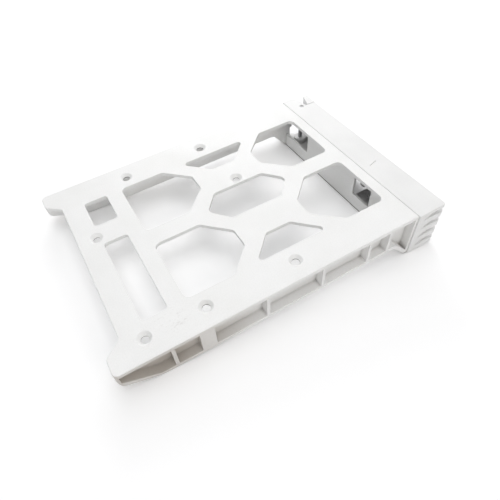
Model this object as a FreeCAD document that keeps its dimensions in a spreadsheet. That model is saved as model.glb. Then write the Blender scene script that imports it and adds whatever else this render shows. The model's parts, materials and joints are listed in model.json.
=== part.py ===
"""Hot swap drive caddy: a moulded drive tray with a louvred front bezel and a swinging pull lever.

Each sub-part is drawn with Y = 0 on the seam between tray and bezel and Z = 0 on the plate's outer
face, and is then placed so that the origin is the middle of the four 3.5 inch drive screw holes.
+Y runs back to the connector end, +Z is away from the drive, and +X is the lever's hinge side.
"""
import FreeCAD, Part
import math
import os
import Sketcher
from types import SimpleNamespace

os.makedirs("parts", exist_ok=True)
doc = FreeCAD.newDocument("drive_caddy")

# ---------------------------------------------------------------- driving dimensions (mm)
SIZES = {
    # the drive that the tray carries
    "drive_width": 101.6,
    "drive_gap": 0.5,
    "hole_inset": 3.175,          # 3.5 inch screw holes, in from the drive's side
    "hole_row_pitch": 44.45,      # between the two rows of 3.5 inch holes
    "front_row": 62.8,            # front row of 3.5 inch holes, behind the seam
    "small_hole_width": 61.72,    # 2.5 inch hole pattern, across the tray
    "small_hole_length": 76.6,    # and along it
    "small_front_row": 58.1,
    "hole_radius": 1.85,
    "small_hole_radius": 1.7,
    "countersink_radius": 3.3,
    # tray plate
    "tray_length": 151.0,
    "plate_thick": 2.0,
    "horn_tip": 9.2,
    "horn_slope": 5.6,
    "horn_depth": 7.3,
    "horn_radius": 2.6,
    # lattice windows
    "window_inner": 5.1,
    "window_margin": 11.4,        # windows, in from the rail's web
    "window_front": 6.0,
    "front_knee": 28.5,
    "front_window_rear": 41.25,
    "crown_inner": 17.3,
    "crown_outer": 27.9,
    "side_window_front": 39.4,
    "side_window_rear": 78.1,
    "side_window_inner": 27.1,
    "side_window_slope": 12.7,
    "hexagon_half": 9.9,
    "hexagon_front": 36.7,
    "hexagon_rear": 81.9,
    "hexagon_point": 8.5,
    "rear_window_front": 77.1,
    "rear_knee": 89.4,
    "slot_strut": 8.1,
    "slot_length": 11.9,
    "slot_margin": 10.8,
    "slot_end": 8.5,
    "small_slot_end": 21.6,
    "window_radius": 3.0,
    "slot_radius": 1.6,
    # side rails
    "web_thick": 1.7,
    "channel_depth": 4.4,
    "rail_depth": 16.5,
    "flange_thick": 2.0,
    "rib_thick": 1.6,
    "rib_first": 16.0,
    "rib_second": 28.0,
    "rib_third": 54.0,
    "rib_fourth": 83.0,
    "rib_fifth": 127.0,
    "block_front": 108.5,
    "block_rear": 115.3,
    "lead_length": 17.0,
    "lead_radius": 22.0,
    "tip_depth": 8.4,
    "tip_radius": 3.4,
    "gusset_length": 9.6,
    "gusset_drop": 10.3,
    "gusset_radius": 4.0,
    # front wall
    "wall_thick": 1.5,
    "port_top": 3.0,
    "port_drop": 18.5,
    "hinge_port_width": 22.7,
    "latch_port_far": 14.3,
    "latch_port_near": 27.3,
    "tab_height": 8.0,
    # bezel
    "bezel_over": 0.8,            # how far the bezel stands out past each side of the tray
    "bezel_depth": 16.5,
    "bezel_height": 27.0,
    "bezel_wall": 2.0,
    "near_wall": 3.6,
    "panel_thick": 3.0,
    "panel_end": 14.1,
    "far_corner": 5.8,
    "corner_slope": 2.2,
    "corner_step": 1.4,
    "stop_slope": 1.6,
    "stop_length": 4.0,
    "corner_radius": 1.8,
    "near_radius": 1.5,
    "edge_radius": 0.5,
    "seam_chamfer": 0.35,
    "slit_width": 0.4,
    "slit_rear": 4.7,
    "slit_front": 9.8,
    "slit_slant": 1.5,
    "finger_far": 9.0,
    "finger_near": 11.0,
    "finger_front": 3.0,
    # louvre grooves
    "groove_pitch": 6.1,
    "groove_height": 2.5,
    "groove_depth": 2.0,
    "groove_fade": 3.0,
    # lever and its hinge
    "fit_gap": 0.3,
    "hinge_in": 10.0,
    "hinge_ahead": 7.3,
    "pin_radius": 1.25,
    "pin_recess": 0.6,
    "pin_grip": 0.01,
    "running_gap": 0.06,
    "knuckle_radius": 3.8,
    "upper_knuckle": 5.2,
    "lower_knuckle": 2.8,
    "knuckle_web": 5.0,
    "slot_front": 10.1,
    "lug_in": 10.3,
    "lug_start": 11.4,
    "lug_length": 8.4,
    "lug_slant": 2.7,
    "lug_proud": 0.2,
    "lug_radius": 0.9,
    "stiffener_thick": 1.4,
    "stiffener_depth": 2.3,
    "catch_depth": 6.0,
    "catch_lip": 1.6,
    "catch_reach": 1.8,
    # release button
    "button_travel": 2.5,
    "slider_length": 23.8,
    "slider_thick": 3.2,
    "nose_length": 2.0,
    "nose_gap": 0.4,
    "nose_height": 10.0,
    "thumb_width": 10.4,
    "thumb_height": 12.4,
    "thumb_start": 0.5,
    "thumb_proud": 0.6,
    "thumb_ridge": 0.8,
    "peg_radius": 1.2,
    "peg_length": 3.5,
    "guide_thick": 1.3,
    "guide_height": 2.0,
    # button spring
    "coil_radius": 1.6,
    "wire_radius": 0.2,
    "coil_length": 6.5,
    "coil_turns": 5.0,
    # screws that hold the bezel on the front wall
    "screw_in": 11.2,
    "screw_high": 7.0,
    "screw_low": 20.5,
    "screw_middle": 18.7,
    "screw_middle_drop": 20.0,
    "screw_length": 8.0,
    "shank_radius": 1.25,
    "screw_hole_radius": 1.45,
    "head_radius": 2.5,
    "pilot_radius": 1.05,
    "post_radius": 3.0,
    "middle_post": 8.5,
    "recess_width": 0.7,
    "recess_length": 2.8,
    "recess_depth": 0.8,
}

sheet = doc.addObject("Spreadsheet::Sheet", "Sizes")
for row, (alias, value) in enumerate(SIZES.items(), start=1):
    sheet.set("A%d" % row, alias)
    sheet.set("B%d" % row, str(value))
    sheet.setAlias("B%d" % row, alias)
doc.recompute()


class Length:
    """A number of millimetres that remembers the sheet formula it comes from."""

    def __init__(self, value, text=None):
        self.value = float(value)
        self.text = text or repr(self.value)

    def join(self, sign, other, value):
        return Length(value, "(%s %s %s)" % (self.text, sign, other.text))

    def __add__(self, other):
        other = length(other)
        return self.join("+", other, self.value + other.value)

    def __sub__(self, other):
        other = length(other)
        return self.join("-", other, self.value - other.value)

    def __mul__(self, other):
        other = length(other)
        return self.join("*", other, self.value * other.value)

    def __truediv__(self, other):
        other = length(other)
        return self.join("/", other, self.value / other.value)

    def __neg__(self):
        return Length(0) - self

    __rmul__ = __mul__

    def __radd__(self, other):
        return length(other) + self

    def __rsub__(self, other):
        return length(other) - self

    def root(self):
        return Length(math.sqrt(self.value), "sqrt(%s)" % self.text)


def length(value):
    return value if isinstance(value, Length) else Length(value)


d = SimpleNamespace(**{name: Length(value, "Sizes." + name) for name, value in SIZES.items()})

# ---------------------------------------------------------------- lengths that sub-parts share
HOLE_X = d.drive_width / 2 - d.hole_inset
ORIGIN_Y = d.front_row + d.hole_row_pitch / 2
WEB_IN = d.drive_width / 2 + d.drive_gap
WEB_OUT = WEB_IN + d.web_thick
HALF = WEB_OUT + d.channel_depth
WALL_DEPTH = d.rail_depth + d.gusset_drop
REAR_EDGE = d.tray_length - d.horn_depth
SLOT_REAR = REAR_EDGE - d.slot_margin
SLOT_FRONT = SLOT_REAR - d.slot_length
BEZEL_HALF = HALF + d.bezel_over
WINDOW_OUTER = WEB_IN - d.window_margin
HINGE_OUT = BEZEL_HALF - d.hinge_in
LUG_ROOT = BEZEL_HALF - d.lug_in
SCREW_NEAR = BEZEL_HALF - d.screw_in
MIDDLE = d.bezel_height / 2
PANEL_BACK = d.bezel_depth - d.panel_thick
LEVER_END = d.panel_end - d.fit_gap
INNER_TOP = d.bezel_wall + d.fit_gap
INNER_HEIGHT = d.bezel_height - 2 * INNER_TOP
SLIDER_FRONT = PANEL_BACK - d.fit_gap
SLIDER_BACK = SLIDER_FRONT - d.slider_thick
SLIDER_FAR = d.panel_end + d.nose_gap / 2 + d.nose_length
SLIDER_NEAR = SLIDER_FAR + d.slider_length
COIL_Y = SLIDER_FRONT - d.slider_thick / 2 - d.wire_radius
SCREWS = [
    (-SCREW_NEAR, -d.screw_high),
    (-SCREW_NEAR, -d.screw_low),
    (d.screw_middle, -d.screw_middle_drop),
]


# ---------------------------------------------------------------- helpers
def bind(item, prop, value):
    item.setExpression(prop, length(value).text)


def new_body(label):
    """A body for one sub-part, moved so that the drive hole pattern's middle is the origin."""
    body = doc.addObject("PartDesign::Body", label)
    body.Label = label
    bind(body, "Placement.Base.y", -ORIGIN_Y)
    return body


def new_sketch(body, name, plane, height):
    """An empty sketch on one of the body's own origin planes, moved along the plane's normal."""
    sketch = body.newObject("Sketcher::SketchObject", name)
    support = [feature for feature in body.Origin.OriginFeatures if feature.Role == plane][0]
    sketch.AttachmentSupport = [(support, "")]
    sketch.MapMode = "FlatFace"
    bind(sketch, "AttachmentOffset.Base.z", height)
    return sketch


def fix_point(sketch, line, corner, position):
    """Tie one end of a sketch line to the sketch's origin with two bound distances."""
    for axis, value in zip(("DistanceX", "DistanceY"), position):
        value = length(value)
        index = sketch.addConstraint(Sketcher.Constraint(axis, -1, 1, line, corner, value.value))
        bind(sketch, "Constraints[%d]" % index, value)


def vector(point):
    return FreeCAD.Vector(length(point[0]).value, length(point[1]).value, 0)


def add_loop(sketch, points):
    """A closed outline. A point is (x, y), or (x, y, radius) where an anticlockwise arc whose
    centre is to the left leads to the next point."""
    first = sketch.GeometryCount
    for i, point in enumerate(points):
        here, there = vector(point), vector(points[(i + 1) % len(points)])
        if len(point) == 2:
            sketch.addGeometry(Part.LineSegment(here, there), False)
            continue
        chord = there - here
        left = FreeCAD.Vector(-chord.y, chord.x, 0).normalize()
        reach = math.sqrt(point[2].value ** 2 - chord.Length ** 2 / 4)
        centre = (here + there) * 0.5 + left * reach
        start, end = [math.atan2(p.y - centre.y, p.x - centre.x) for p in (here, there)]
        circle = Part.Circle(centre, FreeCAD.Vector(0, 0, 1), point[2].value)
        sketch.addGeometry(Part.ArcOfCircle(circle, start, end), False)
        index = sketch.addConstraint(Sketcher.Constraint("Radius", first + i, point[2].value))
        bind(sketch, "Constraints[%d]" % index, point[2])
    for i, point in enumerate(points):
        after = first + (i + 1) % len(points)
        sketch.addConstraint(Sketcher.Constraint("Coincident", first + i, 2, after, 1))
        fix_point(sketch, first + i, 1, point[:2])


def add_circle(sketch, x, y, radius):
    """A circle with its centre and radius bound."""
    circle = Part.Circle(vector((x, y)), FreeCAD.Vector(0, 0, 1), radius.value)
    index = sketch.addGeometry(circle, False)
    fix_point(sketch, index, 3, (x, y))
    constraint = sketch.addConstraint(Sketcher.Constraint("Radius", index, radius.value))
    bind(sketch, "Constraints[%d]" % constraint, radius)


def box_loop(low_x, high_x, low_y, high_y):
    """The four corners of an upright rectangle."""
    return [(low_x, low_y), (high_x, low_y), (high_x, high_y), (low_x, high_y)]


def mirrored(points):
    return [(-x, y) for x, y in points]


def extrude(kind, body, name, plane, height, depth, loops=(), circles=(), flip=False):
    """Pad or pocket a set of outlines, and stop if it changes the volume the wrong way."""
    before = body.Shape.Volume if body.Tip else 0.0
    sketch = new_sketch(body, name + "_outline", plane, height)
    for points in loops:
        add_loop(sketch, points)
    for x, y, radius in circles:
        add_circle(sketch, x, y, radius)
    feature = body.newObject("PartDesign::" + kind, name)
    feature.Profile = sketch
    bind(feature, "Length", depth)
    feature.Reversed = flip
    doc.recompute()
    grown = body.Shape.Volume - before
    if (kind == "Pad") != (grown > 0) or abs(grown) < 1e-3:
        raise RuntimeError("%s %s changes the volume by %.4f" % (kind, name, grown))


def pad(*args, **options):
    extrude("Pad", *args, **options)


def pocket(*args, **options):
    extrude("Pocket", *args, **options)


def dress(kind, body, name, amount, wanted):
    """Fillet or chamfer the edges of the body that a test picks out."""
    tip = body.Tip
    names = ["Edge%d" % (i + 1) for i, edge in enumerate(tip.Shape.Edges) if wanted(edge)]
    if not names:
        raise RuntimeError("no edge found for " + name)
    feature = body.newObject("PartDesign::" + kind, name)
    feature.Base = (tip, names)
    bind(feature, "Radius" if kind == "Fillet" else "Size", amount)
    doc.recompute()
    if not feature.Shape.isValid() or len(feature.Shape.Solids) != 1:
        raise RuntimeError(name + " spoils the solid")


def along(edge, axis):
    """True for a straight edge that runs along one axis."""
    if edge.Curve.TypeId != "Part::GeomLine":
        return False
    return abs(getattr(edge.Curve.Direction, axis)) > 0.9999


def near(edge, **place):
    """True where the edge's middle has the given coordinates."""
    middle = edge.BoundBox.Center
    return all(abs(getattr(middle, axis) - length(v).value) < 0.02 for axis, v in place.items())


def upright_at(points):
    """A test for edges along Z at any of the given (x, y) points."""
    return lambda edge: along(edge, "z") and any(near(edge, x=p[0], y=p[1]) for p in points)


def countersunk(body, name, plane, height, centres, radius, head, flip=False):
    """Through holes with a 90 degree countersink on the sketch's side."""
    sketch = new_sketch(body, name + "_centres", plane, height)
    for x, y in centres:
        add_circle(sketch, x, y, radius)
    doc.recompute()
    before = body.Shape.Volume
    hole = body.newObject("PartDesign::Hole", name)
    hole.Profile = sketch
    doc.recompute()
    hole.DepthType = "ThroughAll"
    hole.Reversed = flip
    bind(hole, "Diameter", 2 * radius)
    hole.HoleCutType = "Countersink"
    hole.HoleCutCustomValues = True
    bind(hole, "HoleCutDiameter", 2 * head)
    hole.HoleCutCountersinkAngle = 90
    doc.recompute()
    if body.Shape.Volume >= before - 1e-3:
        raise RuntimeError(name + " cuts nothing")


# ---------------------------------------------------------------- tray frame
def rail_profile():
    """Side view of a rail: a lead-in at the rear and a gusset down the front wall."""
    return [
        (0, -d.plate_thick),
        (d.tray_length, -d.plate_thick),
        (d.tray_length, -d.tip_depth),
        (d.tray_length - d.lead_length, -d.rail_depth),
        (d.wall_thick + d.gusset_length, -d.rail_depth),
        (d.wall_thick, -WALL_DEPTH),
        (0, -WALL_DEPTH),
    ]


def rail_bays():
    """The recesses between the ribs on the outside of a rail."""
    top = -d.plate_thick
    floor = d.flange_thick - d.rail_depth
    half = d.rib_thick / 2
    slope = (d.gusset_length * d.gusset_length + d.gusset_drop * d.gusset_drop).root()
    knee = d.wall_thick + d.gusset_length - d.flange_thick * (slope - d.gusset_length) / d.gusset_drop
    foot = WALL_DEPTH - d.flange_thick * slope / d.gusset_length
    front_bay = [
        (d.wall_thick, top),
        (d.rib_first - half, top),
        (d.rib_first - half, floor),
        (knee, floor),
        (d.wall_thick, -foot),
    ]
    rear_bay = [
        (d.rib_fifth + half, top),
        (d.tray_length - d.rib_thick, top),
        (d.tray_length - d.rib_thick, d.flange_thick - d.tip_depth),
        (d.tray_length - d.lead_length, floor),
        (d.rib_fifth + half, floor),
    ]
    spans = [
        (d.rib_first + half, d.rib_second - half),
        (d.rib_second + half, d.rib_third - half),
        (d.rib_third + half, d.rib_fourth - half),
        (d.rib_fourth + half, d.block_front),
        (d.block_rear, d.rib_fifth - half),
    ]
    return [front_bay, rear_bay] + [box_loop(low, high, floor, top) for low, high in spans]


def lattice():
    """The lattice windows: three on each side of the spine and a hexagon on it."""
    front = [
        (d.window_inner, d.window_front),
        (WINDOW_OUTER, d.window_front),
        (WINDOW_OUTER, d.front_knee),
        (d.crown_outer, d.front_window_rear),
        (d.crown_inner, d.front_window_rear),
        (d.window_inner, d.front_knee),
    ]
    side = [
        (d.side_window_inner, d.side_window_front + d.side_window_slope),
        (WINDOW_OUTER, d.side_window_front),
        (WINDOW_OUTER, d.side_window_rear),
        (d.side_window_inner, d.side_window_rear - d.side_window_slope),
    ]
    rear = [
        (d.crown_inner, d.rear_window_front),
        (d.crown_outer, d.rear_window_front),
        (WINDOW_OUTER, d.rear_knee),
        (WINDOW_OUTER, SLOT_FRONT - d.slot_strut),
        (d.window_inner, SLOT_FRONT - d.slot_strut),
        (d.window_inner, d.rear_knee),
    ]
    hexagon = [
        (d.hexagon_half, d.hexagon_front + d.hexagon_point),
        (d.hexagon_half, d.hexagon_rear - d.hexagon_point),
        (0, d.hexagon_rear),
        (-d.hexagon_half, d.hexagon_rear - d.hexagon_point),
        (-d.hexagon_half, d.hexagon_front + d.hexagon_point),
        (0, d.hexagon_front),
    ]
    half = [front, side, rear]
    return half + [mirrored(points) for points in half] + [hexagon]


def corner_cuts():
    """What is cut away to round the two outer rear corners, seen from above."""
    x, y, r = HALF, d.tray_length, d.horn_radius
    far = [(x, y - r, r), (x - r, y), (x - r, y + 1), (x + 1, y + 1), (x + 1, y - r)]
    near_side = [(r - x, y, r), (-x, y - r), (-x - 1, y - r), (-x - 1, y + 1), (r - x, y + 1)]
    return [far, near_side]


def make_tray_frame():
    body = new_body("tray_frame")
    inner_tip = HALF - d.horn_tip
    horn_root = inner_tip - d.horn_slope
    outline = [
        (-HALF, 0),
        (HALF, 0),
        (HALF, d.tray_length),
        (inner_tip, d.tray_length),
        (horn_root, REAR_EDGE),
        (-horn_root, REAR_EDGE),
        (-inner_tip, d.tray_length),
        (-HALF, d.tray_length),
    ]
    pad(body, "plate", "XY_Plane", 0, d.plate_thick, loops=[outline], flip=True)
    dress("Fillet", body, "horn_rounds", d.horn_radius, upright_at(outline[3:7]))

    windows = lattice()
    slots = [
        box_loop(-WINDOW_OUTER, d.slot_end, SLOT_FRONT, SLOT_REAR),
        box_loop(d.small_slot_end, WINDOW_OUTER, SLOT_FRONT, SLOT_REAR),
    ]
    pocket(body, "windows", "XY_Plane", 0, d.plate_thick, loops=windows + slots)
    sharp = windows[1] + windows[4] + sum(slots, [])
    broad = [point for i in (0, 2, 3, 5, 6) for point in windows[i]]
    dress("Fillet", body, "window_rounds", d.window_radius, upright_at(broad))
    dress("Fillet", body, "slot_rounds", d.slot_radius, upright_at(sharp))

    rail_width = d.web_thick + d.channel_depth
    pad(body, "far_rail", "YZ_Plane", WEB_IN, rail_width, loops=[rail_profile()])
    pad(body, "near_rail", "YZ_Plane", -HALF, rail_width, loops=[rail_profile()])
    lead_y, end_y = d.tray_length - d.lead_length, d.tray_length
    dress("Fillet", body, "lead_rounds", d.lead_radius,
          lambda e: along(e, "x") and near(e, y=lead_y, z=-d.rail_depth))
    gusset_y = d.wall_thick + d.gusset_length
    dress("Fillet", body, "gusset_rounds", d.gusset_radius,
          lambda e: along(e, "x") and near(e, y=gusset_y, z=-d.rail_depth))
    dress("Fillet", body, "tip_rounds", d.tip_radius,
          lambda e: along(e, "x") and near(e, y=end_y, z=-d.tip_depth))
    pocket(body, "rear_corners", "XY_Plane", 0, d.bezel_height, loops=corner_cuts())
    pocket(body, "far_bays", "YZ_Plane", HALF, d.channel_depth, loops=rail_bays())
    pocket(body, "near_bays", "YZ_Plane", -HALF, d.channel_depth, loops=rail_bays(), flip=True)

    wall = box_loop(-HALF, HALF, -WALL_DEPTH, -d.plate_thick)
    pad(body, "front_wall", "XZ_Plane", 0, d.wall_thick, loops=[wall], flip=True)
    ports = [
        box_loop(WEB_IN - d.hinge_port_width, WEB_IN, -d.port_drop, -d.port_top),
        box_loop(-d.latch_port_near, -d.latch_port_far, -d.port_drop, -d.port_top),
        box_loop(WEB_OUT + 1, HALF + 1, -MIDDLE - d.tab_height / 2, -MIDDLE + d.tab_height / 2),
    ]
    pocket(body, "wall_ports", "XZ_Plane", 0, d.wall_thick, loops=ports)

    small_x = d.small_hole_width - HOLE_X
    small_rear = d.small_front_row + d.small_hole_length
    rows = (d.front_row, d.front_row + d.hole_row_pitch)
    holes = [(x, y) for x in (HOLE_X, -HOLE_X) for y in rows]
    small = [(-HOLE_X, small_rear), (small_x, small_rear), (small_x, d.small_front_row)]
    countersunk(body, "drive_holes", "XY_Plane", 0, holes, d.hole_radius, d.countersink_radius)
    countersunk(body, "small_holes", "XY_Plane", 0, small, d.small_hole_radius, d.countersink_radius)
    countersunk(body, "screw_holes", "XZ_Plane", -d.wall_thick, SCREWS, d.screw_hole_radius,
                d.head_radius, flip=True)
    dress("Chamfer", body, "seam_edge", d.seam_chamfer, lambda e: along(e, "x") and near(e, y=0, z=0))
    dress("Fillet", body, "side_edges", d.edge_radius,
          lambda e: along(e, "y") and e.Length > 100 and near(e, z=0))
    return body


# ---------------------------------------------------------------- front bezel
def bezel_plan():
    """Plan of the bezel's top and bottom walls, cut away round the lever's lug."""
    slot_end = LUG_ROOT - d.fit_gap
    stop_start = d.far_corner + d.corner_slope
    return [
        (-BEZEL_HALF, 0),
        (-BEZEL_HALF, -d.bezel_depth),
        (slot_end, -d.bezel_depth),
        (slot_end, -d.slot_front),
        (BEZEL_HALF - d.corner_step - d.stop_length, -stop_start - d.stop_slope),
        (BEZEL_HALF - d.corner_step, -stop_start),
        (BEZEL_HALF, -d.far_corner),
        (BEZEL_HALF, 0),
    ]


def louvres(body, outline):
    """Four level grooves, cut down from heights that start at the bezel's top wall."""
    for i in range(4):
        height = -d.bezel_wall - i * d.groove_pitch
        pocket(body, "louvre_%d" % i, "XY_Plane", height, d.groove_height, loops=[outline])


def make_front_bezel():
    body = new_body("front_bezel")
    plan = bezel_plan()
    bottom = -d.bezel_height
    pad(body, "top_wall", "XY_Plane", 0, d.bezel_wall, loops=[plan], flip=True)
    pad(body, "near_wall", "XZ_Plane", 0, d.bezel_depth,
        loops=[box_loop(-BEZEL_HALF, d.near_wall - BEZEL_HALF, bottom, 0)])
    pad(body, "bottom_wall", "XY_Plane", bottom, d.bezel_wall, loops=[plan])
    pad(body, "fixed_panel", "XZ_Plane", PANEL_BACK, d.panel_thick,
        loops=[box_loop(-BEZEL_HALF, -d.panel_end, bottom, 0)])
    dress("Fillet", body, "far_corner", d.corner_radius, upright_at(plan[4:7]))
    dress("Fillet", body, "near_corner", d.near_radius, upright_at([(-BEZEL_HALF, -d.bezel_depth)]))
    pad(body, "far_wall", "XZ_Plane", 0, d.far_corner - 1,
        loops=[box_loop(BEZEL_HALF - d.bezel_wall, BEZEL_HALF, bottom, 0)])
    dress("Fillet", body, "front_edges", d.edge_radius,
          lambda e: along(e, "x") and (near(e, y=-d.bezel_depth, z=0) or near(e, y=-d.bezel_depth, z=bottom)))

    beyond = d.bezel_depth + 1
    groove_front = d.groove_depth - d.bezel_depth
    louvres(body, [
        (-BEZEL_HALF - 1, -d.groove_fade),
        (-BEZEL_HALF, -d.groove_fade),
        (d.groove_depth - BEZEL_HALF, groove_front),
        (1 - d.panel_end, groove_front),
        (1 - d.panel_end, -beyond),
        (-BEZEL_HALF - 1, -beyond),
    ])
    window_far = SLIDER_FAR + d.thumb_start - d.fit_gap
    window_near = SLIDER_FAR + d.thumb_start + d.thumb_width + d.button_travel + d.fit_gap
    window_half = d.thumb_height / 2 + d.fit_gap
    pocket(body, "thumb_window", "XZ_Plane", d.bezel_depth, d.panel_thick,
           loops=[box_loop(-window_near, -window_far, -MIDDLE - window_half, -MIDDLE + window_half)])

    posts = [(x, z, d.post_radius) for x, z in SCREWS]
    foot = box_loop(d.screw_middle - d.post_radius, d.screw_middle + d.post_radius,
                    bottom + d.bezel_wall / 2, -d.screw_middle_drop)
    pad(body, "near_posts", "XZ_Plane", 0, PANEL_BACK, circles=posts[:2])
    pad(body, "middle_foot", "XZ_Plane", 0, d.middle_post, loops=[foot])
    pad(body, "middle_post", "XZ_Plane", 0, d.middle_post, circles=posts[2:])
    stop = box_loop(-SLIDER_NEAR - d.coil_length - d.rib_thick, -SLIDER_NEAR - d.coil_length,
                    d.post_radius / 2 - d.screw_low, -d.screw_high - d.post_radius / 2)
    stop_back = COIL_Y - d.coil_radius - 3 * d.wire_radius
    pad(body, "spring_stop", "XZ_Plane", stop_back, PANEL_BACK - stop_back, loops=[stop])
    pilots = [(x, z, d.pilot_radius) for x, z in SCREWS]
    pocket(body, "pilot_holes", "XZ_Plane", 0, d.screw_length - d.wall_thick + 0.8,
           circles=pilots, flip=True)

    guide_front = d.fit_gap - SLIDER_BACK
    guide_near = d.post_radius + 0.5 - SCREW_NEAR
    guide = box_loop(guide_near, -SLIDER_FAR, guide_front, guide_front + d.guide_thick)
    pad(body, "upper_guide", "XY_Plane", -d.bezel_wall, d.guide_height, loops=[guide], flip=True)
    pad(body, "lower_guide", "XY_Plane", bottom + d.bezel_wall, d.guide_height, loops=[guide])

    tab_half = d.tab_height / 2 - d.fit_gap
    pad(body, "locating_tab", "XZ_Plane", -d.wall_thick - 1, d.wall_thick + d.far_corner,
        loops=[box_loop(WEB_OUT + 1 + d.fit_gap, HALF - d.fit_gap, -MIDDLE - tab_half, -MIDDLE + tab_half)])
    pocket(body, "finger_notch", "XY_Plane", bottom + d.bezel_wall, d.bezel_wall,
           loops=[box_loop(-d.finger_near, d.finger_far, -beyond, -d.finger_front)])
    pocket(body, "pin_hole", "XY_Plane", 0, d.bezel_height - d.pin_recess,
           circles=[(HINGE_OUT, -d.hinge_ahead, d.pin_radius - d.pin_grip)])
    slit_x = -d.panel_end - 3.4
    slit = [
        (slit_x, -d.slit_rear),
        (slit_x + d.slit_width, -d.slit_rear),
        (slit_x + d.slit_width + d.slit_slant, -d.slit_front),
        (slit_x + d.slit_slant, -d.slit_front),
    ]
    pocket(body, "gate_slit", "XY_Plane", 0, d.slit_width, loops=[slit])
    dress("Chamfer", body, "seam_edge", d.seam_chamfer, lambda e: along(e, "x") and near(e, y=0, z=0))
    return body


# ---------------------------------------------------------------- pull lever
def make_pull_lever():
    body = new_body("pull_lever")
    front = -d.bezel_depth - d.lug_proud
    lug_tip = LUG_ROOT + d.lug_length
    lug = [
        (LUG_ROOT, -d.lug_start),
        (LUG_ROOT, front),
        (lug_tip, front),
        (lug_tip, -d.lug_start - d.lug_slant),
    ]
    pad(body, "lug", "XY_Plane", 0, d.bezel_height, loops=[lug], flip=True)
    dress("Fillet", body, "lug_rounds", d.lug_radius, upright_at(lug[2:]))
    panel = box_loop(-LEVER_END, LUG_ROOT + 1, -d.bezel_depth, -PANEL_BACK)
    pad(body, "panel", "XY_Plane", -INNER_TOP, INNER_HEIGHT, loops=[panel], flip=True)

    half_web = d.knuckle_web / 2
    web = box_loop(HINGE_OUT - half_web, HINGE_OUT + half_web, -PANEL_BACK - 1, -d.hinge_ahead)
    ring = (HINGE_OUT, -d.hinge_ahead, d.knuckle_radius)
    lower = INNER_TOP + INNER_HEIGHT - d.lower_knuckle
    for name, drop, deep in (("upper", INNER_TOP, d.upper_knuckle), ("lower", lower, d.lower_knuckle)):
        pad(body, name + "_web", "XY_Plane", -drop, deep, loops=[web], flip=True)
        pad(body, name + "_knuckle", "XY_Plane", -drop, deep, circles=[ring], flip=True)
    bore = (HINGE_OUT, -d.hinge_ahead, d.pin_radius + d.running_gap)
    pocket(body, "pin_bore", "XY_Plane", 0, d.bezel_height, circles=[bore])

    wall_x = d.catch_reach - LEVER_END
    catch_back = d.catch_depth - PANEL_BACK
    catch = [
        (-LEVER_END, catch_back),
        (-LEVER_END, catch_back - d.catch_lip),
        (wall_x, catch_back - d.catch_lip),
        (wall_x, -PANEL_BACK),
        (wall_x + d.stiffener_thick, -PANEL_BACK),
        (wall_x + d.stiffener_thick, catch_back),
    ]
    half_catch = d.nose_height / 2 + 1
    pad(body, "catch", "XY_Plane", half_catch - MIDDLE, 2 * half_catch, loops=[catch], flip=True)
    stiffeners = [
        box_loop(wall_x, HINGE_OUT - half_web, z - d.stiffener_thick / 2, z + d.stiffener_thick / 2)
        for z in (-MIDDLE + d.groove_pitch, -MIDDLE - d.groove_pitch)
    ]
    pad(body, "stiffeners", "XZ_Plane", PANEL_BACK - d.stiffener_depth, d.stiffener_depth, loops=stiffeners)
    groove_front = d.groove_depth - d.bezel_depth
    louvres(body, box_loop(-LEVER_END - 1, lug_tip + 1, -d.bezel_depth - 1, groove_front))
    return body


# ---------------------------------------------------------------- hinge pin
def make_hinge_pin():
    body = new_body("hinge_pin")
    circle = (HINGE_OUT, -d.hinge_ahead, d.pin_radius)
    pad(body, "shaft", "XY_Plane", -d.pin_recess, d.bezel_height - 2 * d.pin_recess,
        circles=[circle], flip=True)
    dress("Chamfer", body, "ends", d.pin_radius / 5, lambda e: e.Curve.TypeId == "Part::GeomCircle")
    return body


# ---------------------------------------------------------------- release button
def make_release_button():
    body = new_body("release_button")
    slider = box_loop(-SLIDER_NEAR, -SLIDER_FAR, -SLIDER_FRONT, -SLIDER_BACK)
    pad(body, "slider", "XY_Plane", -INNER_TOP, INNER_HEIGHT, loops=[slider], flip=True)
    tip_x = d.nose_length - SLIDER_FAR
    nose = [
        (-SLIDER_FAR - 1, -SLIDER_FRONT),
        (-SLIDER_FAR, -SLIDER_FRONT),
        (tip_x, -SLIDER_BACK - d.slider_thick / 2),
        (tip_x, -SLIDER_BACK),
        (-SLIDER_FAR - 1, -SLIDER_BACK),
    ]
    pad(body, "nose", "XY_Plane", d.nose_height / 2 - MIDDLE, d.nose_height, loops=[nose], flip=True)
    thumb_far = -SLIDER_FAR - d.thumb_start
    thumb = box_loop(thumb_far - d.thumb_width, thumb_far,
                     -MIDDLE - d.thumb_height / 2, d.thumb_height / 2 - MIDDLE)
    pad(body, "thumb_pad", "XZ_Plane", SLIDER_FRONT, d.panel_thick + d.fit_gap + d.thumb_proud, loops=[thumb])
    grooves = []
    for step in (2, 4, 6, 8, 10):
        right = thumb_far - step * d.thumb_ridge
        left = right - d.thumb_ridge
        grooves.append(box_loop(left, right, -MIDDLE - d.thumb_height, d.thumb_height - MIDDLE))
    pocket(body, "thumb_grooves", "XZ_Plane", d.bezel_depth + d.thumb_proud, d.thumb_proud, loops=grooves)
    pad(body, "spring_peg", "YZ_Plane", -SLIDER_NEAR, d.peg_length,
        circles=[(-COIL_Y, -MIDDLE, d.peg_radius)], flip=True)
    return body


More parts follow.
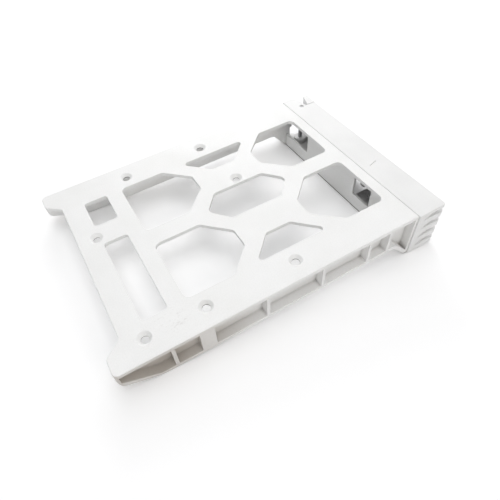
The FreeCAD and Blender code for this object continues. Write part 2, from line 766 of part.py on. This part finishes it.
# ---------------------------------------------------------------- button spring
def make_button_spring():
    """A compression coil round the button's peg, with its axis along X."""
    height = d.coil_length - 2 * d.wire_radius
    helix = doc.addObject("Part::Helix", "coil_path")
    bind(helix, "Radius", d.coil_radius)
    bind(helix, "Height", height)
    bind(helix, "Pitch", height / d.coil_turns)
    wire = doc.addObject("Part::Circle", "wire_section")
    bind(wire, "Radius", d.wire_radius)
    bind(wire, "Placement.Base.x", d.coil_radius)
    wire.Placement.Rotation = FreeCAD.Rotation(FreeCAD.Vector(1, 0, 0), 90)
    coil = doc.addObject("Part::Sweep", "button_spring")
    coil.Label = "button_spring"
    coil.Sections = [wire]
    coil.Spine = (helix, ["Edge1"])
    coil.Solid = True
    coil.Frenet = True
    coil.Placement.Rotation = FreeCAD.Rotation(FreeCAD.Vector(0, 1, 0), -90)
    bind(coil, "Placement.Base.x", -SLIDER_NEAR - d.wire_radius)
    bind(coil, "Placement.Base.y", -COIL_Y - ORIGIN_Y)
    bind(coil, "Placement.Base.z", -MIDDLE)
    return coil


# ---------------------------------------------------------------- bezel screws
def add_solid(kind, name, z, **sizes):
    """A Part primitive with bound sizes, its base at a bound height."""
    solid = doc.addObject("Part::" + kind, name)
    for prop, value in sizes.items():
        bind(solid, prop, value)
    bind(solid, "Placement.Base.z", z)
    return solid


def add_screw(name, x, z):
    """One self-tapping countersunk screw along -Y, with a cross recess in its head."""
    cone = d.head_radius - d.shank_radius
    point = d.shank_radius
    blank = doc.addObject("Part::MultiFuse", name + "_blank")
    blank.Shapes = [
        add_solid("Cone", name + "_head", 0, Radius1=d.head_radius, Radius2=d.shank_radius, Height=cone),
        add_solid("Cylinder", name + "_shank", cone, Radius=d.shank_radius,
                  Height=d.screw_length - cone - point),
        add_solid("Cone", name + "_point", d.screw_length - point, Radius1=d.shank_radius,
                  Radius2=d.shank_radius / 4, Height=point),
    ]
    cross = doc.addObject("Part::MultiFuse", name + "_cross")
    bars = []
    across = ("across", d.recess_length, d.recess_width)
    upright = ("upright", d.recess_width, d.recess_length)
    for label, wide, deep in (across, upright):
        bar = add_solid("Box", "%s_%s" % (name, label), 0, Length=wide, Width=deep, Height=d.recess_depth)
        bind(bar, "Placement.Base.x", -wide / 2)
        bind(bar, "Placement.Base.y", -deep / 2)
        bars.append(bar)
    cross.Shapes = bars
    screw = doc.addObject("Part::Cut", name)
    screw.Base = blank
    screw.Tool = cross
    screw.Placement.Rotation = FreeCAD.Rotation(FreeCAD.Vector(1, 0, 0), 90)
    bind(screw, "Placement.Base.x", x)
    bind(screw, "Placement.Base.y", d.wall_thick)
    bind(screw, "Placement.Base.z", z)
    return screw


def make_bezel_screws():
    """Three alike screws in one sub-part."""
    group = doc.addObject("Part::Compound", "bezel_screws")
    group.Label = "bezel_screws"
    group.Links = [add_screw("screw_%d" % i, x, z) for i, (x, z) in enumerate(SCREWS)]
    bind(group, "Placement.Base.y", -ORIGIN_Y)
    return group


# ---------------------------------------------------------------- build, check and write
sub_parts = [
    make_tray_frame(),
    make_front_bezel(),
    make_pull_lever(),
    make_hinge_pin(),
    make_release_button(),
    make_button_spring(),
    make_bezel_screws(),
]
doc.recompute()

for item in doc.Objects:
    if "Invalid" in item.State or "Error" in item.State:
        raise RuntimeError("%s did not compute: %s" % (item.Name, item.State))
for item in sub_parts:
    if item.Shape.isNull() or not item.Shape.isValid():
        raise RuntimeError(item.Label + " has no valid shape")
    print("%-16s solids %d  volume %9.1f mm3" % (item.Label, len(item.Shape.Solids), item.Shape.Volume))
for item in sub_parts:
    item.Shape.exportStep("parts/%s.step" % item.Label)
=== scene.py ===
# %% [markdown]
# # A hot swap drive caddy
#
# The real caddy is a white ABS moulding: a latticed tray with channelled side rails, a louvred
# bezel screwed to its front, and a pull lever that swings on a steel pin. The imported CAD part
# gives every shape and every size. This lesson loads it, rounds the edges that a mould always
# rounds, gives each piece the finish of its real material, and adds the small marks that use
# leaves. It ends with a plain floor, soft studio light and a camera.
#
# The first cell loads the part.

# %% Load the imported part
import json
import math

import bpy
from mathutils import Matrix, Vector

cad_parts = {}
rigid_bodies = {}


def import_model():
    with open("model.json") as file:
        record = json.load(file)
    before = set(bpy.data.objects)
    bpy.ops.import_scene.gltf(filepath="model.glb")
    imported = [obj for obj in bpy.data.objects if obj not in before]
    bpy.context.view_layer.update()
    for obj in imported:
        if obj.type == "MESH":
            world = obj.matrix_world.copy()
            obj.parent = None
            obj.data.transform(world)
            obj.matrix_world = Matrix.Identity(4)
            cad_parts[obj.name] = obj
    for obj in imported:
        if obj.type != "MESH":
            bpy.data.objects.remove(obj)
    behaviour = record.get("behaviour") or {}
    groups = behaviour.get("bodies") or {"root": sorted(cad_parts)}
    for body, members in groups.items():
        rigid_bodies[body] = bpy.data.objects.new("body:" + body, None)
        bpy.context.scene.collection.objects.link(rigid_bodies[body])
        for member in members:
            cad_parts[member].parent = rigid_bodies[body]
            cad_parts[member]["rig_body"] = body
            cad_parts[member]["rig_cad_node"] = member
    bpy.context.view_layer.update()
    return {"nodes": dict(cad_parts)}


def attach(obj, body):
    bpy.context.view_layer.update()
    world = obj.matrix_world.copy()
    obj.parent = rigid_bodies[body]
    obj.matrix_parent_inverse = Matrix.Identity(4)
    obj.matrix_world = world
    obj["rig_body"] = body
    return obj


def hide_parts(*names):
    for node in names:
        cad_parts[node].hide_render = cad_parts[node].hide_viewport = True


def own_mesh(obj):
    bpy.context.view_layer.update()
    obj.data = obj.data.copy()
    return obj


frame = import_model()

print("nodes:", sorted(frame["nodes"]))

MM = 0.001                     # the scene is in metres and every size below is in millimetres
SEAM = -85.025                 # the seam between tray and bezel, along Y
BEZEL_FOOT = -27.0             # the bezel's underside, along Z


# %% [markdown]
# ## Soft edges
#
# No moulded part has a sharp edge. A cutter leaves a small radius in the mould, and hot plastic
# doesn't quite fill the last corner, so every edge comes out a little round and catches a thin
# line of light. The CAD solids have sharp edges, so each moulding is copied here and its copy
# rounded. A node's mesh is loose triangles, so the copy's doubles are merged first.

# %% Copy a CAD node
MERGE_DISTANCE = 0.002         # closer than this, two corners are the same one


def copy_node(node, name):
    """A merged copy of a CAD node's mesh, as a new piece at the origin."""
    bpy.ops.object.select_all(action="DESELECT")
    source = frame["nodes"][node]
    source.select_set(True)
    bpy.context.view_layer.objects.active = source
    bpy.ops.object.duplicate()
    piece = bpy.context.object
    piece.name = name
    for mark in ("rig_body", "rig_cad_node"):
        if mark in piece:
            del piece[mark]
    bpy.ops.object.mode_set(mode="EDIT")
    bpy.ops.mesh.select_all(action="SELECT")
    bpy.ops.mesh.remove_doubles(threshold=MERGE_DISTANCE * MM)
    bpy.ops.object.mode_set(mode="OBJECT")
    return piece


def stand_in(piece, node, body):
    """The piece takes the node's place on its body, and the node is hidden."""
    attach(piece, body)
    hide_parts(node)


print("corners merge within, mm:", MERGE_DISTANCE)


# %% [markdown]
# The triangles that lie on one flat face are dissolved into that face, and a Bevel modifier
# rounds each edge that turns by more than its angle limit. Where faces with many holes give the
# bevel trouble, as on the lever, they are split into triangles first. A Weighted Normal modifier
# then keeps the broad faces flat to the light, so that only the rounded edges shade softly.

# %% Round the edges of the four mouldings
FLAT_ANGLE = math.radians(1)   # faces that turn by less than this are one flat face
SMOOTH_ANGLE = math.radians(50)
ROUNDING_STEPS = 2
MOULDINGS = {      # node: its body, its material slot, edge radius, angle limit, split first
    "tray_frame": ("tray", "tray_plastic", 0.12, 45, False),
    "front_bezel": ("tray", "bezel_plastic", 0.15, 35, False),
    "pull_lever": ("lever", "lever_plastic", 0.12, 45, True),
    "release_button": ("button", "button_plastic", 0.15, 35, False),
}


def soften(piece, radius, angle, split):
    """Rounds the piece's edges, and shades it smooth."""
    bpy.ops.object.mode_set(mode="EDIT")
    bpy.ops.mesh.select_all(action="SELECT")
    bpy.ops.mesh.dissolve_limited(angle_limit=FLAT_ANGLE)
    if split:
        bpy.ops.mesh.select_all(action="SELECT")
        bpy.ops.mesh.quads_convert_to_tris(quad_method="BEAUTY", ngon_method="BEAUTY")
    bpy.ops.object.mode_set(mode="OBJECT")
    bpy.ops.object.modifier_add(type="BEVEL")
    rounding = piece.modifiers[-1]
    rounding.width = radius * MM
    rounding.segments = ROUNDING_STEPS
    rounding.limit_method = "ANGLE"
    rounding.angle_limit = math.radians(angle)
    rounding.use_clamp_overlap = False
    bpy.ops.object.modifier_apply(modifier=rounding.name)
    bpy.ops.object.shade_smooth_by_angle(angle=SMOOTH_ANGLE)
    bpy.ops.object.modifier_add(type="WEIGHTED_NORMAL")
    flattening = piece.modifiers[-1]
    flattening.keep_sharp = True
    bpy.ops.object.modifier_apply(modifier=flattening.name)


new_pieces = {}
for node, (body, slot, radius, angle, split) in MOULDINGS.items():
    moulding = copy_node(node, node + "_moulding")
    soften(moulding, radius, angle, split)
    stand_in(moulding, node, body)
    new_pieces[node] = moulding
    print(moulding.name, "faces:", len(moulding.data.polygons))


# %% [markdown]
# ## The spring
#
# A coil of steel wire pushes the release button out. Its shape is already right, but when the
# button goes in, the coil has to shorten. A copy of it rides with the tray, on a mesh of its own,
# and keeps its full length here.

spring = copy_node("button_spring", "button_spring_coil")
bpy.ops.object.shade_smooth_by_angle(angle=SMOOTH_ANGLE)
stand_in(spring, "button_spring", "tray")
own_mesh(spring)
new_pieces["button_spring"] = spring
print("spring faces:", len(spring.data.polygons))


# %% [markdown]
# ## Colours and nodes
#
# A colour is easiest to read as the hex value that a screen shows. Blender's sockets want linear
# light, so one function turns the first into the second. A second small function adds a shader
# node, sets it and links it, and a third makes the empty material they go in, so that each
# material below stays short enough to read.

# %% Three helpers for materials
def linear(hex_colour):
    """An sRGB hex colour as the linear RGBA that Blender's sockets hold."""
    parts = [int(hex_colour[i:i + 2], 16) / 255 for i in (1, 3, 5)]
    return [v / 12.92 if v <= 0.04045 else ((v + 0.055) / 1.055) ** 2.4 for v in parts] + [1.0]


def add_node(tree, kind, settings=None, **inputs):
    """Adds a node. settings are its own properties; inputs are values, or sockets to link.

    An input goes by its name, or by its number as i0, i1 and so on where names repeat."""
    node = tree.nodes.new(kind)
    for name, value in (settings or {}).items():
        setattr(node, name, value)
    for name, value in inputs.items():
        key = int(name[1:]) if name[0] == "i" and name[1:].isdigit() else name.replace("_", " ")
        socket = node.inputs[key]
        if isinstance(value, bpy.types.NodeSocket):
            tree.links.new(value, socket)
        else:
            socket.default_value = value
    return node


def new_material(name):
    """An empty node material with its output node."""
    material = bpy.data.materials.new(name)
    material.use_nodes = True
    material.node_tree.nodes.clear()
    return material, material.node_tree, material.node_tree.nodes.new("ShaderNodeOutputMaterial")


print("white ABS in linear light:", [round(v, 3) for v in linear("#f4f4f2")])


# %% [markdown]
# ## Marks of use
#
# Each mark is a function that takes a colour and gives it back marked.
#
# The plate has one patch of faint rubs where the caddy has been pushed against something, near
# its rear corner. A stretched noise gives short streaks that lie one way, and a soft ball
# round the patch keeps them there.

# %% Rub marks on the plate
RUB_CENTRE = (-45.5, 36.5, 0.0)
RUB_REACH = 9.0                # the streaks fade out this far from the centre
STREAK = 0.9                   # width of a streak
STREAK_TURN = math.radians(35)
STREAK_SQUEEZE = (1.0, 0.28, 1.0)
RUB_GREY = "#c9c7c4"


def add_scuffs(tree, place, colour):
    """Faint grey streaks near one corner of the plate, mixed over the colour."""
    centred = add_node(tree, "ShaderNodeVectorMath", {"operation": "SUBTRACT"}, i0=place,
                       i1=[v * MM for v in RUB_CENTRE]).outputs[0]
    away = add_node(tree, "ShaderNodeVectorMath", {"operation": "LENGTH"}, i0=centred)
    near = add_node(tree, "ShaderNodeMapRange", Value=away.outputs["Value"],
                    From_Min=RUB_REACH * MM, From_Max=0.3 * RUB_REACH * MM)
    turned = add_node(tree, "ShaderNodeMapping", Vector=centred,
                      Rotation=(0.0, 0.0, STREAK_TURN), Scale=STREAK_SQUEEZE)
    streak = add_node(tree, "ShaderNodeTexNoise", Vector=turned.outputs[0],
                      Scale=1 / (STREAK * MM), Detail=4.0, Distortion=1.5)
    mark = add_node(tree, "ShaderNodeMapRange", Value=streak.outputs[0], From_Min=0.56,
                    From_Max=0.72, To_Max=0.5)
    share = add_node(tree, "ShaderNodeMath", {"operation": "MULTIPLY"}, i0=mark.outputs[0],
                     i1=near.outputs[0])
    return add_node(tree, "ShaderNodeMix", {"data_type": "RGBA"}, i0=share.outputs[0], i6=colour,
                    i7=linear(RUB_GREY)).outputs[2]


print("rub marks reach, mm:", RUB_REACH)


# %% [markdown]
# The inside corners are drawn a little grey: painted shade, for the shade that falls where a
# corner is shut in. An Ambient Occlusion node finds them, because it measures how shut in each
# point is within two and a half millimetres.

# %% Painted shade in the corners
SHADE_REACH = 2.5
CORNER_SHADE_GREY = "#a9a6a3"


def add_corner_shading(tree, colour, most):
    """Painted shade: a little grey in the inside corners, mixed over the colour."""
    corner = add_node(tree, "ShaderNodeAmbientOcclusion", {"samples": 8},
                      Distance=SHADE_REACH * MM)
    painted_shade = add_node(tree, "ShaderNodeMapRange", Value=corner.outputs["AO"], From_Min=0.85,
                    From_Max=0.2, To_Max=most)
    return add_node(tree, "ShaderNodeMix", {"data_type": "RGBA"}, i0=painted_shade.outputs[0], i6=colour,
                    i7=linear(CORNER_SHADE_GREY)).outputs[2]


print("dust reaches, mm:", SHADE_REACH)


# %% [markdown]
# A server bay carries the caddy on steel guides. Their grey brown grime is taken to rub off on the
# outer web of each rail, most of all towards the rear, which goes in first and slides furthest.
# The same grey brown is also painted shade, for the shade on the webs, which lie recessed under
# the plate. Four ranges say where: out on the web, less on the flange's edge, below the plate's
# top edge, and more and more towards the rear. Multiplied, they give each point its share. The
# foot of the front wall, which all but touches the table, gets a thin dark line in the same way: a
# painted contact shadow.

# %% Guide grime with painted shade, and the painted shadow at the foot
WEB_FACE = 53.0                # how far out the rails' outer webs stand
WEB_FADE = 0.3
FLANGE_EDGE = 57.4             # and how far out their flanges reach
FLANGE_FADE = 0.4
FLANGE_SHARE = 0.7             # how much of the grime and painted shade the flange's edge takes
TOP_PLAIN, TOP_DARKENED = -0.1, -0.4     # along Z, at the plate's top edge
DARKENING_START, DARKENING_FULL = 0.0, 40.0   # along Y
DARKENING_LEAST, DARKENING_MOST = 0.05, 0.8
FOOT_TOP = -26.0               # the painted shadow along the front wall's foot starts here, along Z
FOOT_FADE = 0.2
GRIME_AND_SHADE_BROWN = "#bdb5ab"
FOOT_SHADOW_GREY = "#6f6b68"


def add_web_darkening(tree, place, colour):
    """Grime and painted shade on the rails' outer webs, growing towards the rear, and a painted
    shadow at the wall's foot.
    """
    axes = add_node(tree, "ShaderNodeSeparateXYZ", Vector=place).outputs
    out = add_node(tree, "ShaderNodeMath", {"operation": "ABSOLUTE"}, i0=axes[0]).outputs[0]
    shares = [
        add_node(tree, "ShaderNodeMapRange", Value=out, From_Min=(WEB_FACE - WEB_FADE) * MM,
                 From_Max=WEB_FACE * MM),
        add_node(tree, "ShaderNodeMapRange", Value=out,
                 From_Min=(FLANGE_EDGE - FLANGE_FADE) * MM, From_Max=FLANGE_EDGE * MM,
                 To_Min=1.0, To_Max=FLANGE_SHARE),
        add_node(tree, "ShaderNodeMapRange", Value=axes[2], From_Min=TOP_PLAIN * MM,
                 From_Max=TOP_DARKENED * MM),
        add_node(tree, "ShaderNodeMapRange", Value=axes[1], From_Min=DARKENING_START * MM,
                 From_Max=DARKENING_FULL * MM, To_Min=DARKENING_LEAST, To_Max=DARKENING_MOST),
    ]
    grime_and_shade = shares[0].outputs[0]
    for share in shares[1:]:
        grime_and_shade = add_node(tree, "ShaderNodeMath", {"operation": "MULTIPLY"}, i0=grime_and_shade,
                         i1=share.outputs[0]).outputs[0]
    # guide grime and painted shade on the outer webs
    colour = add_node(tree, "ShaderNodeMix", {"data_type": "RGBA"}, i0=grime_and_shade, i6=colour,
                      i7=linear(GRIME_AND_SHADE_BROWN)).outputs[2]
    # painted contact shadow: a thin dark line along the foot of the front wall
    foot = add_node(tree, "ShaderNodeMapRange", Value=axes[2], From_Min=FOOT_TOP * MM,
                    From_Max=(FOOT_TOP - FOOT_FADE) * MM)
    return add_node(tree, "ShaderNodeMix", {"data_type": "RGBA"}, i0=foot.outputs[0],
                    i6=colour, i7=linear(FOOT_SHADOW_GREY)).outputs[2]


print("grime grows along Y, mm:", DARKENING_START, "to", DARKENING_FULL)


# %% [markdown]
# ## The white plastic
#
# Injection moulded ABS, natural white. Its mould is finished by spark erosion, which prints a
# fine matt grain on the part: the gloss breaks up into a soft satin sheen. Such a grain is too
# fine to show at this size, so it is drawn coarser, at 0.6 mm. Handling leaves a slow
# cloudiness in the sheen, some 30 mm across, and the colour drifts a little with it.
# The node coordinates are the object's own, so the pattern stays on the piece as it moves.
# The button is the same plastic in grey.

# %% Moulded white ABS
GRAIN = 0.6                    # drawn size of the spark-eroded grain
GRAIN_DEPTH = 0.03
CLOUD = 30.0                   # size of the handling marks
ABS_IOR = 1.54
SPECKLE_GREY = "#dcdcdb"


def moulded_abs(name, clean, dull, roughness, scuffed=False, painted_shade=0.6):
    """Satin moulded ABS: clean and dull are the two ends of its slow colour drift."""
    material, tree, output = new_material(name)
    place = add_node(tree, "ShaderNodeTexCoord").outputs["Object"]
    cloud = add_node(tree, "ShaderNodeTexNoise", Vector=place, Scale=1 / (CLOUD * MM), Detail=3.0,
                     Roughness=0.55)
    grain = add_node(tree, "ShaderNodeTexNoise", Vector=place, Scale=1 / (GRAIN * MM), Detail=2.0,
                     Roughness=0.6)
    drift = add_node(tree, "ShaderNodeMapRange", Value=cloud.outputs[0], From_Min=0.35,
                     From_Max=0.7)
    colour = add_node(tree, "ShaderNodeMix", {"data_type": "RGBA"}, i0=drift.outputs[0],
                      i6=linear(clean), i7=linear(dull)).outputs[2]
    speckle = add_node(tree, "ShaderNodeMapRange", Value=grain.outputs[0], From_Min=0.35,
                       From_Max=0.7, To_Max=0.22)
    colour = add_node(tree, "ShaderNodeMix", {"data_type": "RGBA"}, i0=speckle.outputs[0],
                      i6=colour, i7=linear(SPECKLE_GREY)).outputs[2]
    if scuffed:
        colour = add_scuffs(tree, place, colour)
        colour = add_web_darkening(tree, place, colour)
    # painted shade in the inside corners, placed by ambient occlusion
    colour = add_corner_shading(tree, colour, painted_shade)
    sheen = add_node(tree, "ShaderNodeMapRange", Value=cloud.outputs[0], From_Min=0.3,
                     From_Max=0.75, To_Min=roughness - 0.04, To_Max=roughness + 0.06)
    bump = add_node(tree, "ShaderNodeBump", Height=grain.outputs[0], Strength=0.6,
                    Distance=GRAIN_DEPTH * MM)
    skin = add_node(tree, "ShaderNodeBsdfPrincipled", Base_Color=colour,
                    Roughness=sheen.outputs[0], Normal=bump.outputs[0], IOR=ABS_IOR)
    tree.links.new(skin.outputs[0], output.inputs["Surface"])
    return material


tray_abs = moulded_abs("moulded_white_abs_tray", "#f8f8f7", "#f2f2f0", 0.42, scuffed=True)
bezel_abs = moulded_abs("moulded_white_abs_bezel", "#f2f2f1", "#ececeb", 0.40, painted_shade=0.3)
button_abs = moulded_abs("moulded_grey_abs_button", "#d8d8d8", "#cfcfd0", 0.40)
print("plastics:", [m.name for m in (tray_abs, bezel_abs, button_abs)])


# %% [markdown]
# ## The screw holes
#
# Seven holes in the plate take the drive's screws: four for a large drive and three for a small
# one, at the standard spacings. The straight wall of each hole is drawn dark grey: painted shade,
# for the shade inside the hole. The faces are found by their place, inside a hole, and by their
# normal, which lies level; the countersinks above them slope, and stay white.

# %% Painted shade on the walls of the screw holes
LARGE_ACROSS, LARGE_ALONG = 95.25, 44.45
SMALL_ACROSS, SMALL_ALONG = 61.72, 76.6
NEAR_COLUMN = -LARGE_ACROSS / 2           # the small drive shares this column, along X
SMALL_COLUMN = NEAR_COLUMN + SMALL_ACROSS
SMALL_REAR = 49.675                       # its rear row, along Y
LARGE_DRIVE = [(x, y) for x in (NEAR_COLUMN, -NEAR_COLUMN)
               for y in (-LARGE_ALONG / 2, LARGE_ALONG / 2)]
SMALL_DRIVE = [(NEAR_COLUMN, SMALL_REAR), (SMALL_COLUMN, SMALL_REAR),
               (SMALL_COLUMN, SMALL_REAR - SMALL_ALONG)]
HOLE_REACH = 2.0
LEVEL = 0.5                               # a wall's normal rises by less than this

# painted shade: a dark grey plastic for the straight walls of the screw holes
hole_shade_abs = moulded_abs("hole_wall_shade_abs", "#6b6967", "#5c5a58", 0.5)


def mark_hole_walls(piece):
    """Gives the hole walls slot 1, the painted shade, and returns how many faces that is."""
    marked = 0
    for face in piece.data.polygons:
        x, y = face.center.x / MM, face.center.y / MM
        inside = any(math.hypot(x - a, y - b) < HOLE_REACH for a, b in LARGE_DRIVE + SMALL_DRIVE)
        if inside and abs(face.normal.z) < LEVEL:
            face.material_index = 1
            marked += 1
    return marked


print("screw holes:", len(LARGE_DRIVE + SMALL_DRIVE))


# %% [markdown]
# ## The steel
#
# The pin is ground steel: round, bright, with fine rings from the wheel. The screws are zinc
# plated, a little bluer and duller with a crystalline mottle. The spring is drawn wire. All
# three start from one brushed metal, which stretches a noise along the way the tool moved.

# %% Ground, plated and drawn steel
def steel(name, colour, shade, roughness, stretch, size):
    """A metal whose noise is stretched: stretch is how much shorter it is along each axis."""
    material, tree, output = new_material(name)
    place = add_node(tree, "ShaderNodeTexCoord").outputs["Object"]
    turned = add_node(tree, "ShaderNodeMapping", Vector=place, Scale=stretch)
    line = add_node(tree, "ShaderNodeTexNoise", Vector=turned.outputs[0], Scale=1 / (size * MM),
                    Detail=3.0)
    mixed = add_node(tree, "ShaderNodeMix", {"data_type": "RGBA"}, i0=line.outputs[0],
                     i6=linear(colour), i7=linear(shade))
    rough = add_node(tree, "ShaderNodeMapRange", Value=line.outputs[0], To_Min=roughness - 0.08,
                     To_Max=roughness + 0.12)
    bump = add_node(tree, "ShaderNodeBump", Height=line.outputs[0], Strength=0.3,
                    Distance=0.01 * MM)
    skin = add_node(tree, "ShaderNodeBsdfPrincipled", Base_Color=mixed.outputs[2], Metallic=1.0,
                    Roughness=rough.outputs[0], Normal=bump.outputs[0])
    tree.links.new(skin.outputs[0], output.inputs["Surface"])
    return material


ground_steel = steel("ground_steel_pin", "#c9c9cb", "#a9a9ac", 0.28, (1.0, 1.0, 6.0), 0.8)
zinc_steel = steel("zinc_plated_steel_screw", "#c4c8cc", "#a6abb0", 0.38, (1.0, 1.0, 1.0), 0.4)
drawn_steel = steel("drawn_steel_spring", "#b9babd", "#97989b", 0.34, (0.4, 1.0, 1.0), 0.3)
print("metals:", [m.name for m in (ground_steel, zinc_steel, drawn_steel)])


# %% [markdown]
# ## The floor
#
# The caddy stands on its bezel's foot and on the rear of its rails, so it leans back a little,
# and the floor is tilted under it by the same angle. The camera should see the floor as white,
# and still see the shadow on it. So rays that are seen directly meet a floor that glows a
# little, and glows more far from the object, and all other rays meet plain pale card.

# %% The floor
TILT = math.radians(4.6)
FLOOR_SIZE = 6.0               # in metres, as are the two distances below
GLOW_NEAR, GLOW_FAR = 0.25, 0.8
GLOW_LEAST, GLOW_MOST = 0.17, 1.0


def seen_directly(tree):
    """A socket that is 1 for rays that show what they hit, and 0 for rays that only light."""
    rays = add_node(tree, "ShaderNodeLightPath").outputs
    seen = add_node(tree, "ShaderNodeMath", {"operation": "MAXIMUM"}, i0=rays["Is Camera Ray"],
                    i1=rays["Is Glossy Ray"]).outputs[0]
    return add_node(tree, "ShaderNodeMath", {"operation": "MAXIMUM"}, i0=seen,
                    i1=rays["Is Transmission Ray"]).outputs[0]


def pale_floor():
    """A pale floor that is seen as white, and that keeps the object's shadow."""
    material, tree, output = new_material("pale_floor")
    plain = add_node(tree, "ShaderNodeBsdfDiffuse", Color=linear("#f7f7f7"))
    shaded = add_node(tree, "ShaderNodeBsdfDiffuse", Color=linear("#f9f9f9"))
    place = add_node(tree, "ShaderNodeTexCoord").outputs["Object"]
    away = add_node(tree, "ShaderNodeVectorMath", {"operation": "LENGTH"}, i0=place)
    power = add_node(tree, "ShaderNodeMapRange", Value=away.outputs["Value"],
                     From_Min=GLOW_NEAR, From_Max=GLOW_FAR, To_Min=GLOW_LEAST, To_Max=GLOW_MOST)
    glow = add_node(tree, "ShaderNodeEmission", Color=linear("#ffffff"),
                    Strength=power.outputs[0])
    white = add_node(tree, "ShaderNodeAddShader", i0=shaded.outputs[0], i1=glow.outputs[0])
    mixed = add_node(tree, "ShaderNodeMixShader", i0=seen_directly(tree), i1=plain.outputs[0],
                     i2=white.outputs[0])
    tree.links.new(mixed.outputs[0], output.inputs["Surface"])
    return material


bpy.ops.object.select_all(action="DESELECT")
bpy.ops.mesh.primitive_plane_add(size=FLOOR_SIZE, location=(0.0, SEAM * MM, BEZEL_FOOT * MM),
                                 rotation=(TILT, 0.0, 0.0))
floor = bpy.context.object
floor.name = "floor"
floor.data.materials.append(pale_floor())
print("floor tilt, degrees:", round(math.degrees(TILT), 2))


# %% [markdown]
# ## The room
#
# A white product is lit by a pale room from all sides at once, and the lamps only shape that
# light. The room has two faces too: a dim, slightly cool one lights the object and fills its
# shadows, and a plain white one is what is seen behind it.

# %% The world
AMBIENT_COLOUR = "#f8f9fc"
AMBIENT_POWER = 0.38


def pale_room():
    """A world that lights dimly and is seen as white."""
    world = bpy.data.worlds.new("studio")
    world.use_nodes = True
    tree = world.node_tree
    tree.nodes.clear()
    ambient = add_node(tree, "ShaderNodeBackground", Color=linear(AMBIENT_COLOUR),
                       Strength=AMBIENT_POWER)
    white = add_node(tree, "ShaderNodeBackground", Color=linear("#ffffff"), Strength=1.0)
    mixed = add_node(tree, "ShaderNodeMixShader", i0=seen_directly(tree), i1=ambient.outputs[0],
                     i2=white.outputs[0])
    tree.links.new(mixed.outputs[0],
                   tree.nodes.new("ShaderNodeOutputWorld").inputs["Surface"])
    return world


bpy.context.scene.world = pale_room()
print("world:", bpy.context.scene.world.name, "power", AMBIENT_POWER)


# %% [markdown]
# ## The lamps
#
# Five square soft boxes, each aimed at the part's origin, on the plate. A wide lamp close by
# gives a soft shadow edge, as a studio's does. The overhead one lights the plate, two stand off
# the hinge's side, one stands in front of the bezel, and a slightly warm one lights the near rail.

# %% The lamps
LAMP_AIM = (0.0, 0.0, 0.0)
LAMPS = {      # name: its place and its side in metres, its power in watts, its colour
    "overhead": ((0.0, 0.0, 0.9), 0.7, 3.0, "#ffffff"),
    "far_side": ((0.7, -0.3, 0.25), 0.4, 2.0, "#ffffff"),
    "far_top": ((0.5, -0.1, 0.75), 0.4, 0.45, "#ffffff"),
    "front": ((0.45, -0.6, 0.5), 0.5, 0.9, "#ffffff"),
    "near_side": ((-0.8, -0.05, 0.45), 0.5, 1.6, "#fffaf4"),
}


def softbox(name, place, side, power, colour):
    """A square area lamp at place, turned to the aim."""
    bpy.ops.object.select_all(action="DESELECT")
    bpy.ops.object.light_add(type="AREA", location=place)
    lamp = bpy.context.object
    lamp.name = name
    lamp.data.size = side
    lamp.data.energy = power
    lamp.data.color = linear(colour)[:3]
    lamp.rotation_mode = "QUATERNION"
    lamp.rotation_quaternion = (Vector(LAMP_AIM) - Vector(place)).to_track_quat("-Z", "Y")


for name, (place, side, power, colour) in LAMPS.items():
    softbox(name, place, side, power, colour)
print("lamps:", list(LAMPS))


# %% [markdown]
# ## The camera
#
# It looks down on the caddy from beside the near rail, some 15 cm above it. Its turn is built
# from two directions: the way it looks, and what is right for it. The small shifts slide the
# picture a little off the lens's axis.

# %% The camera
CAMERA_PLACE = (-0.14048, 0.048235, 0.15088)   # in metres
CAMERA_LOOK = (0.5691, -0.2724, -0.7758)
CAMERA_RIGHT = (-0.4982, -0.8649, -0.0617)
SENSOR_WIDTH = 36.0
LENS = 31.0
SHIFT_X, SHIFT_Y = 0.01776, 0.00048
CLIP_START = 0.001             # in metres

look = Vector(CAMERA_LOOK).normalized()
right = Vector(CAMERA_RIGHT).normalized()
up = (-look).cross(right)
bpy.ops.object.camera_add()
camera = bpy.context.object
turn = Matrix((right, up, -look)).transposed().to_4x4()
turn.translation = Vector(CAMERA_PLACE)
camera.matrix_world = turn
camera.data.sensor_width = SENSOR_WIDTH
camera.data.lens = LENS
camera.data.shift_x = SHIFT_X
camera.data.shift_y = SHIFT_Y
camera.data.clip_start = CLIP_START
bpy.context.scene.camera = camera
print("camera distance, mm:", round(Vector(CAMERA_PLACE).length / MM))


# %% [markdown]
# ## Putting the finishes on
#
# Each CAD node takes its material, and so does its copy where it has one. The tray's copy has a
# second slot, for the painted shade on the walls of its screw holes.

# %% Finishes
FINISHES = {
    "tray_frame": tray_abs, "front_bezel": bezel_abs, "pull_lever": bezel_abs,
    "hinge_pin": ground_steel, "release_button": button_abs, "button_spring": drawn_steel,
    "bezel_screws": zinc_steel,
}
for node, finish in FINISHES.items():
    for piece in (frame["nodes"][node], new_pieces.get(node)):
        if piece is not None:
            piece.data.materials.clear()
            piece.data.materials.append(finish)

new_pieces["tray_frame"].data.materials.append(hole_shade_abs)
print("hole wall faces:", mark_hole_walls(new_pieces["tray_frame"]))

bpy.context.scene.view_settings.view_transform = "Standard"
